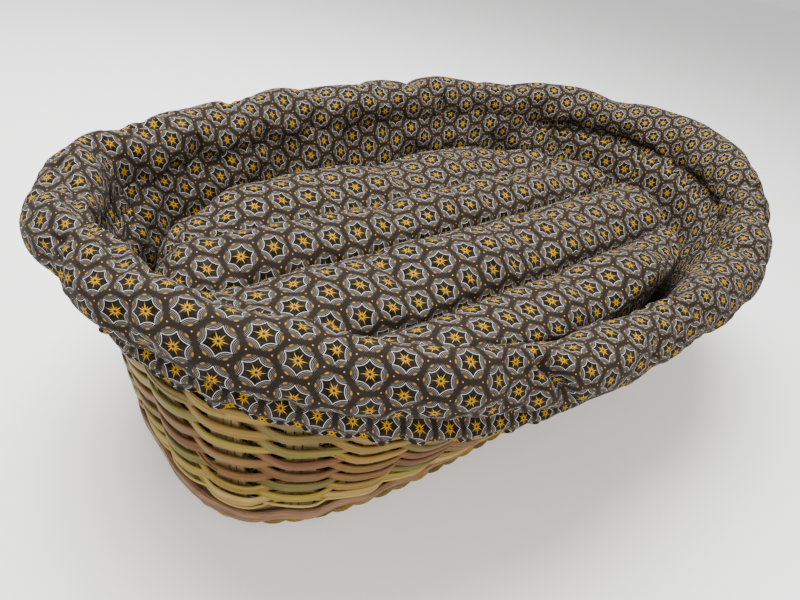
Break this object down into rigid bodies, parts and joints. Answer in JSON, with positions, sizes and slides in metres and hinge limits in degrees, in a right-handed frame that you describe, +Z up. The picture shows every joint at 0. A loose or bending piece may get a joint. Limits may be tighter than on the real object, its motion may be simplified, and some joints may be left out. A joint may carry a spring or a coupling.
{
  "type": "wicker pet bed",
  "caption": "Oval pet bed: a flared basket woven from split cane, a padded fabric liner with a stuffed roll over its rim, and a loose channel-stitched cushion.",
  "frame": {"origin": "on the floor under the middle of the basket", "axes": "+X along the bed's length, +Y across it, +Z up"},
  "size_m": [0.7166, 0.4556, 0.241],
  "materials": {
    "weaver_cane": "satin split cane, straw to olive",
    "stake_cane": "matte split cane, fibrous",
    "pale_cane": "satin pale cane",
    "bark_wood": "rough bent wood with bark",
    "printed_cotton": "matte printed cotton, dark ground with star medallions",
    "polyester_filling": "soft fibre filling",
    "elastic_cord": "woven elastic"
  },
  "bodies": {
    "basket": {"foot_border": "pale_cane", "base_cross_strips": "weaver_cane", "base_long_slats": "weaver_cane", "base_hoop": "bark_wood", "base_band": "bark_wood", "wide_stakes": "stake_cane", "narrow_stakes": "stake_cane", "twining_1": "pale_cane", "twining_2": "pale_cane", "weaver_01": "weaver_cane", "weaver_02": "weaver_cane", "weaver_03": "weaver_cane", "weaver_04": "weaver_cane", "weaver_05": "weaver_cane", "weaver_06": "weaver_cane", "weaver_07": "weaver_cane", "weaver_08": "weaver_cane", "weaver_09": "weaver_cane", "weaver_10": "weaver_cane", "weaver_11": "weaver_cane", "weaver_12": "weaver_cane", "weaver_13": "weaver_cane", "weaver_14": "weaver_cane", "weaver_15": "weaver_cane", "rim_hoop_outer": "bark_wood", "rim_hoop_inner": "bark_wood", "rim_lashing": "pale_cane"},
    "liner": {"bolster_cover": "printed_cotton", "bolster_filling": "polyester_filling", "wall_backing": "printed_cotton", "wall_padding": "polyester_filling", "wall_lining": "printed_cotton", "floor_lining": "printed_cotton", "skirt": "printed_cotton", "hem_elastic": "elastic_cord"},
    "cushion": {"cushion_cover": "printed_cotton", "cushion_filling": "polyester_filling"}
  },
  "joints": [
    {"name": "liner_lift", "type": "slide", "parent": "basket", "child": "liner", "axis": [0, 0, 1], "range_m": [0, 0.26]},
    {"name": "cushion_lift", "type": "slide", "parent": "liner", "child": "cushion", "axis": [0, 0, 1], "range_m": [0, 0.24]}
  ]
}
